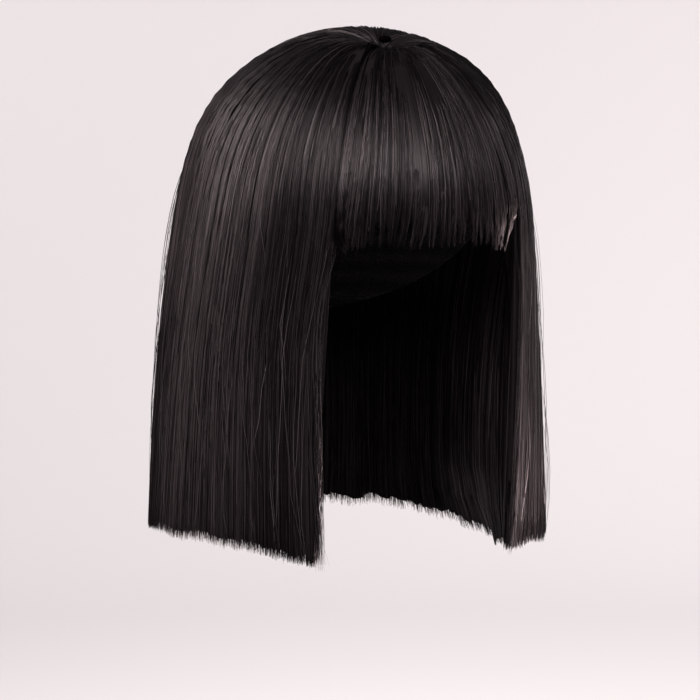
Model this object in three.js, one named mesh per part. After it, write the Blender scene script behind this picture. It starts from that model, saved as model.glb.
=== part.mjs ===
// A straight bob wig with a blunt fringe, as three.js geometry in millimetres, +Z up.
// It faces -Y, +X is the wearer's left, and the origin is where the top of the head meets the cap's inside.
//
// The hair is one thick wall of combed fibre that starts at a whorl on the crown, runs over the cap and
// hangs below it. It is cut into a fringe, two sides and a back along the lines in which the hair falls.
import * as THREE from "three";
import { LoftGeometry } from "three/addons/geometries/LoftGeometry.js";

// The head that the cap is made for
const head_half_width = 76;
const head_front = 86; // from the upright line through the top of the head to the forehead
const head_back = 102; // from the same line to the back of the head
const head_crown_depth = 110; // from the top of the head to its widest level

// The cap, which is cut along the hairline and lower at the nape
const cap_wall = 1.4;
const cap_front_drop = 52; // from the top of the head down to the cap's edge at the forehead
const cap_nape_drop = 150; // the same at the nape

// The hair's outer form
const hair_over_crown = 16; // how far the hair stands above the top of the head
const hair_half_width = 100; // at the widest level of the head
const hair_front = 105;
const hair_back = 117;
const hair_drop = 157; // from the widest level of the head down to the blunt cut
const fringe_drop = 105; // from the top of the head down to the fringe's cut
const fringe_half_angle = 35; // degrees from the front to where the fringe meets a side
const side_back_angle = 106; // degrees from the front to where a side meets the back
const front_edge_swing = 6; // degrees that a side's front edge moves back below the fringe

// The free front edges of the sides are combed thin
const front_edge_thickness = 3.5;
const front_edge_taper = 24; // degrees over which a side reaches its full thickness

// Relief of the combed locks, and how unevenly they are cut
const lock_relief = 1.8;
const cut_raggedness = 3;
const side_front_length = 9; // how much longer a side is cut at its front edge
const side_front_length_to = 85; // degrees from the front over which that fades out
const back_shortness = 6; // how much shorter the middle of the back is cut than the sides
const back_shortness_from = 100; // degrees from the front to where the cut begins to rise
const inner_shortness = 6; // how much shorter the inmost hair is than the outer

// The whorl on the crown, where the hair is closed
const whorl_forward = 28; // how far in front of the top of the head it lies
const whorl_radius = 2.9;
const whorl_lip = 4; // how far outside the whorl its rim rises
const whorl_depth = 6;
const crown_dip = 7; // how far the crown sinks towards the whorl
const crown_dip_reach = 0.11; // share of the way to the widest level over which it does so

// Running gaps between pieces that are sewn together
const cap_clearance = 1.0;
const section_clearance = 0.5;

// How many steps the surfaces have
const columns_per_lock = 3;
const crown_rows = 11;
const crown_row_growth = 1.15; // above 1 the rows lie closer together towards the whorl
const fall_rows = 5;
const fall_row_growth = 1.3;
const cap_columns = 56;
const cap_rows = 14;

// Roundness of the outline from above and of the crown from the side: 2 is an ellipse, more is fuller
const front_power = 1.85;
const back_power = 2.1;
const crown_power = 2.08;

// The head: how far down from its widest level towards the cut ends, and how far it reaches there, as
// shares
const head_rows = [
  { drop: -1.0, side: 1.0, front: 1.0, back: 1.0 },
  { drop: 0.0, side: 1.0, front: 1.0, back: 1.0 },
  { drop: 0.13, side: 0.98, front: 0.99, back: 0.96 },
  { drop: 0.26, side: 0.94, front: 0.97, back: 0.88 },
  { drop: 0.5, side: 0.9, front: 0.95, back: 0.83 },
  { drop: 1.1, side: 0.88, front: 0.95, back: 0.8 },
];

// The hair in the same shares, a negative drop being the share of the way back up to the whorl
const hair_rows = [
  { drop: -1.0, side: 1.0, front: 1.0, back: 1.0 },
  { drop: -0.35, side: 0.995, front: 1.0, back: 1.0 },
  { drop: -0.15, side: 0.995, front: 0.975, back: 1.0 },
  { drop: 0.0, side: 1.01, front: 0.925, back: 1.005 },
  { drop: 0.1, side: 1.04, front: 0.875, back: 1.015 },
  { drop: 0.25, side: 1.075, front: 0.82, back: 1.025 },
  { drop: 0.5, side: 1.11, front: 0.785, back: 1.03 },
  { drop: 0.75, side: 1.14, front: 0.755, back: 1.02 },
  { drop: 1.1, side: 1.165, front: 0.715, back: 1.0 },
];

// Locks from each section's first edge to its last: width in equal parts, height as a share of
// lock_relief, and cut as a share of cut_raggedness, more being longer
const fringe_locks = [
  { width: 1.2, height: 0.6, cut: 0.8 },
  { width: 0.8, height: 1.0, cut: 0.2 },
  { width: 1.1, height: 0.7, cut: -0.2 },
  { width: 0.9, height: 0.9, cut: 0.1 },
  { width: 1.3, height: 0.6, cut: -0.4 },
  { width: 0.8, height: 1.0, cut: 0.0 },
  { width: 1.0, height: 0.7, cut: -0.2 },
  { width: 0.9, height: 0.8, cut: 0.5 },
  { width: 1.0, height: 0.7, cut: 0.9 },
];
const right_locks = [
  { width: 0.9, height: 0.8, cut: -0.4 },
  { width: 1.2, height: 0.6, cut: -0.9 },
  { width: 1.0, height: 1.0, cut: -0.3 },
  { width: 0.7, height: 0.5, cut: -1.1 },
  { width: 1.3, height: 0.8, cut: -0.6 },
  { width: 0.9, height: 1.0, cut: -0.9 },
  { width: 1.1, height: 0.6, cut: -0.1 },
  { width: 0.8, height: 0.9, cut: 0.3 },
];
const left_locks = [
  { width: 0.8, height: 0.9, cut: 0.1 },
  { width: 1.2, height: 0.7, cut: 0.7 },
  { width: 0.9, height: 1.0, cut: 0.2 },
  { width: 1.1, height: 0.6, cut: 0.9 },
  { width: 0.8, height: 0.8, cut: 0.3 },
  { width: 1.3, height: 1.0, cut: 0.7 },
  { width: 1.0, height: 0.6, cut: 0.2 },
  { width: 0.9, height: 0.8, cut: 0.4 },
];
const back_locks = [
  { width: 1.0, height: 0.7, cut: -0.2 },
  { width: 1.2, height: 1.0, cut: 0.3 },
  { width: 0.8, height: 0.6, cut: 0.0 },
  { width: 1.1, height: 0.9, cut: -0.4 },
  { width: 0.9, height: 0.7, cut: 0.5 },
  { width: 1.3, height: 1.0, cut: 0.1 },
  { width: 0.8, height: 0.6, cut: -0.3 },
  { width: 1.0, height: 0.9, cut: 0.4 },
  { width: 1.2, height: 0.7, cut: 0.0 },
  { width: 0.9, height: 1.0, cut: -0.5 },
  { width: 1.1, height: 0.6, cut: 0.2 },
  { width: 1.0, height: 0.8, cut: -0.1 },
  { width: 0.9, height: 0.9, cut: 0.3 },
];

const { lerp, clamp, smoothstep, degToRad, radToDeg } = THREE.MathUtils;

const widest_level = -head_crown_depth;
const cut_level = widest_level - hair_drop;

const head_form = {
  side: head_half_width,
  front: head_front,
  back: head_back,
  depth: head_crown_depth,
  dip: 0,
  rows: head_rows,
};
const hair_form = {
  side: hair_half_width,
  front: hair_front,
  back: hair_back,
  depth: head_crown_depth + hair_over_crown,
  dip: crown_dip,
  rows: hair_rows,
};

// A value from a table's column at a drop between two of its rows
function columnAt(rows, column, drop) {
  const next = Math.max(1, rows.findIndex((row) => row.drop >= drop));
  const [above, below] = [rows[next - 1], rows[next]];
  const share = clamp((drop - above.drop) / (below.drop - above.drop), 0, 1);
  return lerp(above[column], below[column], share);
}

// The outline's distance from the axis in one direction, at one level
function outlineReach(azimuth, side, front, back) {
  const ahead = Math.cos(azimuth);
  const [reach, power] = ahead > 0 ? [front, front_power] : [back, back_power];
  const sum = Math.abs(Math.sin(azimuth) / side) ** power + Math.abs(ahead / reach) ** power;
  return sum ** (-1 / power);
}

// A point of a form that is grown by offset. The place runs from 0 at the whorl to 1 at the widest level
// of the head, and from there to 2 at the cut ends. The azimuth is in radians from the front.
function formPoint(form, azimuth, place, offset) {
  const side = (form.side + offset) * columnAt(form.rows, "side", place - 1);
  const front = (form.front + offset) * columnAt(form.rows, "front", place - 1);
  const back = (form.back + offset) * columnAt(form.rows, "back", place - 1);
  const reach = outlineReach(azimuth, side, front, back);
  const rim = new THREE.Vector2(Math.sin(azimuth), -Math.cos(azimuth)).multiplyScalar(reach);
  if (place >= 1) {
    return new THREE.Vector3(rim.x, rim.y, lerp(widest_level, cut_level, place - 1));
  }
  const whorl = new THREE.Vector2(0, -whorl_forward);
  const flat = whorl.lerp(rim, Math.sin((place * Math.PI) / 2));
  const turned = Math.atan2(flat.x, -flat.y);
  const spread = Math.min(1, flat.length() / outlineReach(turned, side, front, back));
  const height = (form.depth + offset) * Math.sqrt(1 - spread ** crown_power);
  const dip = form.dip * Math.exp(-((place / crown_dip_reach) ** 2));
  return new THREE.Vector3(flat.x, flat.y, widest_level + height - dip);
}

// The place along a form's line at which it is a given distance outside the whorl
function placeOutsideWhorl(azimuth, distance) {
  const rim = formPoint(hair_form, azimuth, 1, 0);
  const length = Math.hypot(rim.x, rim.y + whorl_forward);
  return (Math.asin(distance / length) * 2) / Math.PI;
}

// The place along a form's line at which it has come down to a level
function placeAtLevel(form, azimuth, level, offset) {
  let [above, below] = [0, 2.05];
  for (let step = 0; step < 30; step++) {
    const middle = (above + below) / 2;
    if (formPoint(form, azimuth, middle, offset).z > level) above = middle;
    else below = middle;
  }
  return below;
}

// The cap's edge runs from the hairline in front down to the nape
function capEdgePlace(azimuth) {
  const towards_back = (1 - Math.cos(azimuth)) / 2;
  const level = -lerp(cap_front_drop, cap_nape_drop, towards_back);
  return placeAtLevel(head_form, azimuth, level, 0);
}

// The cap: one thin wall, open below
function capGeometry() {
  const sections = [];
  for (let column = 0; column <= cap_columns; column++) {
    const azimuth = ((column % cap_columns) / cap_columns) * 2 * Math.PI;
    const edge = capEdgePlace(azimuth);
    const places = Array.from(
      { length: cap_rows + 1 },
      (_, row) => edge * (row / cap_rows) ** crown_row_growth,
    );
    const outside = places.map((place) => formPoint(head_form, azimuth, place, cap_wall));
    const inside = places.map((place) => formPoint(head_form, azimuth, place, 0));
    sections.push([...outside, ...inside.reverse()]);
  }
  return new LoftGeometry(sections, { closed: true });
}

// Where each column of a section lies between its two edges, how high it stands and how long it is cut
function lockColumns(locks) {
  const total = locks.reduce((sum, lock) => sum + lock.width, 0);
  const columns = [];
  let start = 0;
  for (const lock of locks) {
    for (let step = 0; step < columns_per_lock; step++) {
      const across = step / columns_per_lock;
      columns.push({
        share: (start + lock.width * across) / total,
        height: lock_relief * lock.height * Math.sin(Math.PI * across),
        cut: cut_raggedness * lock.cut * (step === 0 ? 0.4 : 1),
      });
    }
    start += lock.width;
  }
  columns.push({ share: 1, height: 0, cut: 0 });
  return columns;
}

// The places of a section's rows, from the edge of the whorl to the cut. A section that hangs past the
// widest level has rows on the crown and others on the fall, and a short one has a single run of rows.
function rowPlaces(azimuth, end, hangs) {
  const places = [
    placeOutsideWhorl(azimuth, whorl_radius),
    placeOutsideWhorl(azimuth, whorl_radius + whorl_lip),
  ];
  const crown_end = hangs ? 1 : end;
  for (let row = 1; row <= crown_rows; row++) {
    places.push(lerp(places[1], crown_end, (row / crown_rows) ** crown_row_growth));
  }
  for (let row = 1; hangs && row <= fall_rows; row++) {
    places.push(lerp(1, end, (row / fall_rows) ** fall_row_growth));
  }
  return places;
}

// One section of hair between two azimuths, as a loft of closed sections. Each of them follows the fall of
// the hair: down its outer face, across the cut and up its inner face.
function hairGeometry(section) {
  const crown = formPoint(hair_form, 0, 0, 0);
  const rings = lockColumns(section.locks).map((column) => {
    const middle = degToRad(lerp(section.from, section.to, column.share));
    const end = section.end(middle, column);
    const inner_end = end - section.inner_shortness / hair_drop;

    // The azimuth at which a column lies at one place, between edges that keep clear of the neighbours
    const azimuthAt = (place) => {
      const swing = front_edge_swing * smoothstep(place, 0.98, 1.2);
      const reach = whorl_radius + formPoint(hair_form, middle, place, 0).distanceTo(crown);
      const gap = radToDeg(section_clearance / 2 / reach);
      const from = section.from + swing * section.swings_from + gap;
      const to = section.to + swing * section.swings_to - gap;
      return degToRad(lerp(from, to, column.share));
    };

    const outside = rowPlaces(middle, end, section.hangs).map((place, row) => {
      const grown = column.height * smoothstep(place, 0.1, 0.6);
      const sunk = row === 0 ? whorl_depth : 0;
      return formPoint(hair_form, azimuthAt(place), place, grown - sunk);
    });
    const inside = rowPlaces(middle, inner_end, section.hangs).map((place) => {
      const azimuth = azimuthAt(place);
      const under = formPoint(head_form, azimuth, place, cap_wall + cap_clearance);
      const thin = formPoint(hair_form, azimuth, place, -front_edge_thickness);
      return under.lerp(thin, section.thinned(azimuth, place));
    });
    return { outside, inside };
  });

  // Each end of the loft is folded shut along the middle of its first or last section
  const closed = ({ outside, inside }) => [...outside, ...inside.slice().reverse()];
  const folded = ({ outside, inside }) => {
    const line = outside.map((point, row) => point.clone().lerp(inside[row], 0.5));
    return closed({ outside: line, inside: line });
  };
  return new LoftGeometry([folded(rings[0]), ...rings.map(closed), folded(rings.at(-1))]);
}

// How far a side is thinned: fully at its free front edge below the fringe, and no more past the taper
function sideThinned(azimuth, place) {
  const turned = radToDeg(Math.abs(azimuth));
  const edge = fringe_half_angle + front_edge_swing;
  return (1 - smoothstep(turned, edge, edge + front_edge_taper)) * smoothstep(place, 0.85, 1.15);
}

// The blunt cut, a little longer at the front edges of the sides and shorter towards the middle of the back
function bluntEnd(azimuth, column) {
  const turned = radToDeg(Math.acos(Math.cos(azimuth)));
  const forward = 1 - smoothstep(turned, fringe_half_angle, side_front_length_to);
  const backward = smoothstep(turned, back_shortness_from, 180);
  return 2 + (column.cut + side_front_length * forward - back_shortness * backward) / hair_drop;
}

const hanging = {
  hangs: true,
  swings_from: 0,
  swings_to: 0,
  inner_shortness,
  end: bluntEnd,
  thinned: () => 0,
};

const sections = {
  fringe: {
    ...hanging,
    hangs: false,
    from: -fringe_half_angle,
    to: fringe_half_angle,
    locks: fringe_locks,
    inner_shortness: 0,
    end: (azimuth, column) => placeAtLevel(hair_form, azimuth, -fringe_drop - column.cut, 0),
  },
  side_hair_left: {
    ...hanging,
    from: fringe_half_angle,
    to: side_back_angle,
    locks: left_locks,
    swings_from: 1,
    thinned: sideThinned,
  },
  side_hair_right: {
    ...hanging,
    from: -side_back_angle,
    to: -fringe_half_angle,
    locks: right_locks,
    swings_to: -1,
    thinned: sideThinned,
  },
  back_hair: { ...hanging, from: side_back_angle, to: 360 - side_back_angle, locks: back_locks },
};

const hair_material = new THREE.MeshStandardMaterial({ color: 0x1c181a, roughness: 0.42, metalness: 0 });
const cap_material = new THREE.MeshStandardMaterial({ color: 0x121012, roughness: 0.9, metalness: 0 });

const wig = new THREE.Group();

function add(name, mesh) {
  mesh.name = name;
  wig.add(mesh);
}

add("wig_cap", new THREE.Mesh(capGeometry(), cap_material));
for (const [name, section] of Object.entries(sections)) {
  add(name, new THREE.Mesh(hairGeometry(section), hair_material));
}

export default wig;
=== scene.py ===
# The looks of a straight black bob wig with a blunt fringe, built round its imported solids.
# Lengths are in metres. The wig faces -Y, +X is the wearer's left, and the origin is where the top of
# the head meets the inside of the cap.
import math

import bpy
import numpy as np
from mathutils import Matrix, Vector
from mathutils.bvhtree import BVHTree


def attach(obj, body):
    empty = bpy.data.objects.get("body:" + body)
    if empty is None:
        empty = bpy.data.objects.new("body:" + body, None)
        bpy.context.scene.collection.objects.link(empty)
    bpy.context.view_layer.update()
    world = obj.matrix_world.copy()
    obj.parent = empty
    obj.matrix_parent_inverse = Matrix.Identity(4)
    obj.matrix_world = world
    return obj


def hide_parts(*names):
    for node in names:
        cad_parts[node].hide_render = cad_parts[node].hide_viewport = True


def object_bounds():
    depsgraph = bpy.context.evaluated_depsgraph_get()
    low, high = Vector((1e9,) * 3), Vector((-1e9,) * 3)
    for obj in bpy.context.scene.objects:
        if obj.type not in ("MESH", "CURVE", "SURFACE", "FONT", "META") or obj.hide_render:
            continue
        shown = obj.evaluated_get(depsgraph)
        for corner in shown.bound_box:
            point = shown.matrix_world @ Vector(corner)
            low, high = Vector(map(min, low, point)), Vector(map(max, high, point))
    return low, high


MM = 0.001

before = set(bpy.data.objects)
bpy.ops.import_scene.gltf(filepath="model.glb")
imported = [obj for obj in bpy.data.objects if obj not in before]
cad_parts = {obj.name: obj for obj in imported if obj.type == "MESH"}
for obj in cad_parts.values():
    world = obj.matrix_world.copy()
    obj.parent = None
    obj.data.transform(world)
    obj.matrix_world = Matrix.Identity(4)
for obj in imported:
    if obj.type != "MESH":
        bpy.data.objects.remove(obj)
cad_low, cad_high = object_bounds()
scene = bpy.context.scene

# The camera stands where the photograph's did, ahead of the wearer's right cheek
PICTURE_PIXELS = 700
SENSOR_WIDTH = 36.0
VIEW_AZIMUTH = math.radians(-28)
VIEW_ELEVATION = math.radians(2.2)
VIEW_DISTANCE = 1.3
VIEW_TARGET = Vector((0, 0, -125 * MM))
TARGET_PIXEL_X = 359
TARGET_PIXEL_Y = 275
PIXEL_AT_TARGET = 0.56 * MM

# The studio: a round floor that turns up into a wall all round
FLOOR_DROP = 0.42  # below the wig
FLOOR_RADIUS = 2.1
COVE_RADIUS = 1.0
COVE_STEPS = 12
WALL_TOP = 0.45
STUDIO_SIDES = 96
PAPER_COLOUR = (0.50, 0.472, 0.478, 1)
PAPER_GLOW_COLOUR = (1.0, 0.945, 0.952, 1)
PAPER_GLOW = 0.38  # lights behind the paper
DARK_AZIMUTH = math.radians(165)  # the darkest air lies behind and above the wig
DARK_ELEVATION = math.radians(60)
DARK_WITHIN = math.radians(55)
BRIGHT_BEYOND = math.radians(80)
AIR_COLOUR = (1.0, 0.955, 0.962, 1)
AIR_STRENGTH = 1.0
DARK_STRENGTH = 0.1

# Where the hair turns and where it is widest, as in the solids
WHORL = Vector((0, -28 * MM, 0))
WIDEST_LEVEL = -110 * MM
WHORL_START = math.radians(88.4)  # above the horizon, seen from the middle of the widest level
WHORL_ROW_GROWTH = 1.15  # above 1 the rows lie closer together at the whorl
RAY_START = 0.3

# Sections: degrees from the front to their two edges, and how far each edge swings back below the fringe.
# Their faces are found along lines, at places on the crown and, but for the fringe, below the widest level
SECTIONS = {
    "fringe": {"from": -35, "to": 35, "swing_from": 0, "swing_to": 0},
    "side_hair_right": {"from": -106, "to": -35, "swing_from": 0, "swing_to": -6},
    "side_hair_left": {"from": 35, "to": 106, "swing_from": 6, "swing_to": 0},
    "back_hair": {"from": 106, "to": 254, "swing_from": 0, "swing_to": 0},
}
GRIDS = {
    "fringe": {"columns": 55, "crown_rows": 26, "fall_rows": 0},
    "side_hair_right": {"columns": 61, "crown_rows": 22, "fall_rows": 9},
    "side_hair_left": {"columns": 61, "crown_rows": 22, "fall_rows": 9},
    "back_hair": {"columns": 121, "crown_rows": 22, "fall_rows": 9},
}
SAFE_EDGE = 0.0035  # share of its width that the lines keep off a section's two edges
OUTER_EASING = {"along": 7, "across": 18}  # passes that round off the facets of the solids
INNER_EASING = 2
RIM_STEP = 3.0  # degrees between the places where the outline at the widest level is found
RIM_LIFTS = [0, 2 * MM, 4 * MM, 6 * MM, 8 * MM, 10 * MM, 12 * MM]

# Where a line's cut is looked for, between a place that is surely on the hair and one surely past it:
# levels on the sides and the back, and rises on the fringe
FALL_ENDS = {"held": WIDEST_LEVEL - 0.1, "missed": WIDEST_LEVEL - 0.2}
FRINGE_ENDS = {"held": math.radians(15), "missed": math.radians(-20)}
HALVINGS = 18
WHOLE_SHARE = 0.8  # of its thickness, down to which the hair's inner face is followed
SWING_DEPTH = 32 * MM  # below the widest level, where the edge has swung fully
EDGE_GROOVE = 1.1 * MM  # how far the groove between two sections is filled
EDGE_GROOVE_REACH = 7 * MM

# Where brushed hair stands higher than the plain solid: a middle, a reach round it and a height
SWELLS = [
    {"x": 12 * MM, "y": 0 * MM, "z": 12 * MM, "reach": 22 * MM, "height": 2.4 * MM},
    {"x": 3 * MM, "y": -20 * MM, "z": 9 * MM, "reach": 9 * MM, "height": 2.6 * MM},
    {"x": -3 * MM, "y": -37 * MM, "z": 7 * MM, "reach": 11 * MM, "height": -4.2 * MM},
    {"x": 64 * MM, "y": -16 * MM, "z": -26 * MM, "reach": 38 * MM, "height": 6.6 * MM},
    {"x": -70 * MM, "y": 20 * MM, "z": -38 * MM, "reach": 38 * MM, "height": 4.6 * MM},
]

# How much longer than the plain solid the hair is cut: degrees from the front and a length
CUT_SHIFTS = [
    {"at": -106, "longer": -5 * MM},
    {"at": -35, "longer": -3.5 * MM},
    {"at": 35, "longer": -3.5 * MM},
    {"at": 48, "longer": -3 * MM},
    {"at": 64, "longer": 2.5 * MM},
    {"at": 96, "longer": 4.5 * MM},
    {"at": 125, "longer": 0},
    {"at": 215, "longer": 0},
    {"at": 254, "longer": -5 * MM},
]
INNER_LONGER = 6 * MM  # the inner hair hangs down as far as the outer
EDGE_BACK = 0.033  # share of its width by which a side's packed hair ends behind its loose front edge
WHORL_CAVE = math.radians(9)  # how far behind the whorl the hair is hollow under its lip

# Partings, where locks lie apart: degrees from the front, the levels between which they open, the gap
PARTINGS = [
    {"at": -77, "top": -8 * MM, "bottom": -122 * MM, "gap": 2.3 * MM},
    {"at": -53, "top": -50 * MM, "bottom": -104 * MM, "gap": 1.6 * MM},
    {"at": 71, "top": -12 * MM, "bottom": -120 * MM, "gap": 1.6 * MM},
    {"at": 148, "top": -16 * MM, "bottom": -130 * MM, "gap": 1.8 * MM},
    {"at": 214, "top": -24 * MM, "bottom": -110 * MM, "gap": 1.5 * MM},
]
PARTING_FADE = 24 * MM
PARTING_DEPTH = 2.2 * MM


# Camera and studio


def sky_direction(azimuth, elevation):
    """A direction from the wig, its azimuth from the front towards the wearer's left."""
    flat = math.cos(elevation)
    return Vector((math.sin(azimuth) * flat, -math.cos(azimuth) * flat, math.sin(elevation)))


def aim_camera():
    data = bpy.data.cameras.new("camera")
    camera = bpy.data.objects.new("camera", data)
    scene.collection.objects.link(camera)
    back = sky_direction(VIEW_AZIMUTH, VIEW_ELEVATION)
    camera.location = VIEW_TARGET + back * VIEW_DISTANCE
    camera.rotation_mode = "QUATERNION"
    camera.rotation_quaternion = (-back).to_track_quat("-Z", "Y")
    data.sensor_width = SENSOR_WIDTH
    data.lens = SENSOR_WIDTH * VIEW_DISTANCE / (PICTURE_PIXELS * PIXEL_AT_TARGET)
    data.shift_x = (PICTURE_PIXELS / 2 - TARGET_PIXEL_X) / PICTURE_PIXELS
    data.shift_y = (TARGET_PIXEL_Y - PICTURE_PIXELS / 2) / PICTURE_PIXELS
    data.clip_start = 0.05
    scene.camera = camera


def mesh_object(name, vertices, faces):
    mesh = bpy.data.meshes.new(name)
    mesh.from_pydata([tuple(v) for v in vertices], [], [tuple(f) for f in faces])
    mesh.update()
    mesh.shade_smooth()
    piece = bpy.data.objects.new(name, mesh)
    scene.collection.objects.link(piece)
    return piece


def turned_shape(profile, around, x=0.0, y=0.0):
    """Points and faces of a shape that is turned on an upright axis, from its radii and levels."""
    points = []
    for radius, level in profile:
        for step in range(around):
            turn = 2 * math.pi * step / around
            points.append((x + radius * math.cos(turn), y + radius * math.sin(turn), level))
    faces = []
    for base in range(0, (len(profile) - 1) * around, around):
        for step in range(around):
            after = (step + 1) % around
            faces.append((base + step, base + after, base + around + after, base + around + step))
    return points, faces


class NodeMaker:
    """Adds nodes to a tree in the order in which they are wired."""

    def __init__(self, tree):
        self.tree = tree

    def node(self, kind, sockets=None, **settings):
        made = self.tree.nodes.new(kind)
        for key, value in settings.items():
            setattr(made, key, value)
        for key, value in (sockets or {}).items():
            self.wire(made.inputs[key], value)
        return made

    def wire(self, socket, value):
        """Joins a socket to another node's output, or gives it a plain value."""
        if isinstance(value, bpy.types.NodeSocket):
            self.tree.links.new(value, socket)
        elif value is not None:
            socket.default_value = value

    def maths(self, operation, first, second=None):
        return self.node("ShaderNodeMath", {0: first, 1: second}, operation=operation).outputs[0]

    def ranged(self, value, sockets, interpolation="SMOOTHSTEP"):
        sockets = {"Value": value, **sockets}
        return self.node("ShaderNodeMapRange", sockets, interpolation_type=interpolation).outputs[0]


class MaterialMaker(NodeMaker):
    """A material, its shader and the nodes that feed it."""

    def __init__(self, name):
        self.material = bpy.data.materials.new(name)
        self.material.use_nodes = True
        super().__init__(self.material.node_tree)

    def shaded(self, sockets):
        """The material, with its shader's sockets wired."""
        for key, value in sockets.items():
            self.wire(self.tree.nodes["Principled BSDF"].inputs[key], value)
        return self.material

    def blended(self, share, dark, light):
        sockets = {"A": (*dark, 1), "B": (*light, 1), "Factor": share}
        return self.node("ShaderNodeMix", sockets, data_type="RGBA").outputs["Result"]

    def bumped(self, height, strength, distance):
        sockets = {"Strength": strength, "Distance": distance, "Height": height}
        return self.node("ShaderNodeBump", sockets).outputs["Normal"]


def build_studio():
    floor_level = cad_low.z - FLOOR_DROP
    profile = [(0.001, floor_level), (FLOOR_RADIUS, floor_level)]
    for step in range(1, COVE_STEPS + 1):
        turn = math.radians(90) * step / COVE_STEPS
        across = FLOOR_RADIUS + COVE_RADIUS * math.sin(turn)
        profile.append((across, floor_level + COVE_RADIUS * (1 - math.cos(turn))))
    profile.append((FLOOR_RADIUS + COVE_RADIUS, WALL_TOP))
    studio = mesh_object("studio_floor", *turned_shape(profile, STUDIO_SIDES))
    paper = MaterialMaker("studio_paper").shaded({
        "Base Color": PAPER_COLOUR,
        "Roughness": 0.95,
        "Specular IOR Level": 0.1,
        "Emission Color": PAPER_GLOW_COLOUR,
        "Emission Strength": PAPER_GLOW,
    })
    studio.data.materials.append(paper)


def area_light(name, azimuth, elevation, distance, width, height, power, colour=(1, 1, 1), spread=80):
    """A soft light that faces the wig, azimuth in degrees from the front towards the wearer's left."""
    data = bpy.data.lights.new(name, "AREA")
    data.shape = "RECTANGLE"
    data.size = width
    data.size_y = height
    data.energy = power
    data.color = colour
    data.spread = math.radians(spread)
    light = bpy.data.objects.new(name, data)
    scene.collection.objects.link(light)
    away = sky_direction(math.radians(azimuth), math.radians(elevation))
    light.location = VIEW_TARGET + away * distance
    light.rotation_mode = "QUATERNION"
    light.rotation_quaternion = away.to_track_quat("Z", "Y")


def light_studio():
    """Pale air that darkens overhead and behind, so that the crown stays dark, and three soft lights."""
    scene.world = bpy.data.worlds.new("studio_air")
    scene.world.use_nodes = True
    maker = NodeMaker(scene.world.node_tree)
    direction = maker.node("ShaderNodeTexCoord").outputs["Generated"]
    pole = sky_direction(DARK_AZIMUTH, DARK_ELEVATION)
    near_pole = maker.node("ShaderNodeVectorMath", {0: direction, 1: pole}, operation="DOT_PRODUCT")
    strength = maker.ranged(near_pole.outputs["Value"], {
        "From Min": math.cos(BRIGHT_BEYOND),
        "From Max": math.cos(DARK_WITHIN),
        "To Min": AIR_STRENGTH,
        "To Max": DARK_STRENGTH,
    })
    background = maker.tree.nodes["Background"]
    maker.wire(background.inputs["Color"], AIR_COLOUR)
    maker.wire(background.inputs["Strength"], strength)
    area_light("front_light", azimuth=0, elevation=28, distance=1.6, width=1.2, height=0.5, power=10)
    right = {"azimuth": -76, "elevation": 33, "distance": 1.6, "width": 1.3, "height": 1.3, "power": 35}
    area_light("right_light", **right, colour=(1.0, 0.95, 0.93))
    left = {"azimuth": 87, "elevation": -20, "distance": 1.5, "width": 0.8, "height": 0.4, "power": 12}
    area_light("left_light", **left, colour=(1.0, 0.76, 0.77), spread=60)
    scene.view_settings.view_transform = "Standard"


aim_camera()
build_studio()
light_studio()


# How the hair lies: rays find each section's outer and inner face along the lines in which it falls


def surface_of(node):
    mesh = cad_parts[node].data
    corners = [v.co.copy() for v in mesh.vertices]
    return BVHTree.FromPolygons(corners, [tuple(p.vertices) for p in mesh.polygons])


def smoothstep(value, low, high):
    share = np.clip((value - low) / (high - low), 0, 1)
    return share * share * (3 - 2 * share)


def swelling(grid):
    """How far each point of a face is lifted by the swells."""
    lift = np.zeros(grid.shape[:2])
    for swell in SWELLS:
        middle = np.array((swell["x"], swell["y"], swell["z"]))
        apart = np.linalg.norm(grid - middle, axis=2) / swell["reach"]
        lift += swell["height"] * np.exp(-(apart**2))
    return lift


def parting_open(parting, level):
    """How far a parting is open at a level, from 0 to 1."""
    above = smoothstep(level, parting["bottom"], parting["bottom"] + PARTING_FADE)
    below = 1 - smoothstep(level, parting["top"] - PARTING_FADE, parting["top"])
    return above * below


def cast(surface, centre, direction, outer):
    """The point where a line from the centre leaves the hair, or enters it."""
    if outer:
        found = surface.ray_cast(centre + direction * RAY_START, -direction, RAY_START)
    else:
        found = surface.ray_cast(centre, direction, RAY_START)
    return found[0]


def rim_azimuth(section, share, level):
    swung = smoothstep(WIDEST_LEVEL - level, 0, SWING_DEPTH)
    first = section["from"] + section["swing_from"] * swung
    last = section["to"] + section["swing_to"] * swung
    return math.radians(first + (last - first) * share)


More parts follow.
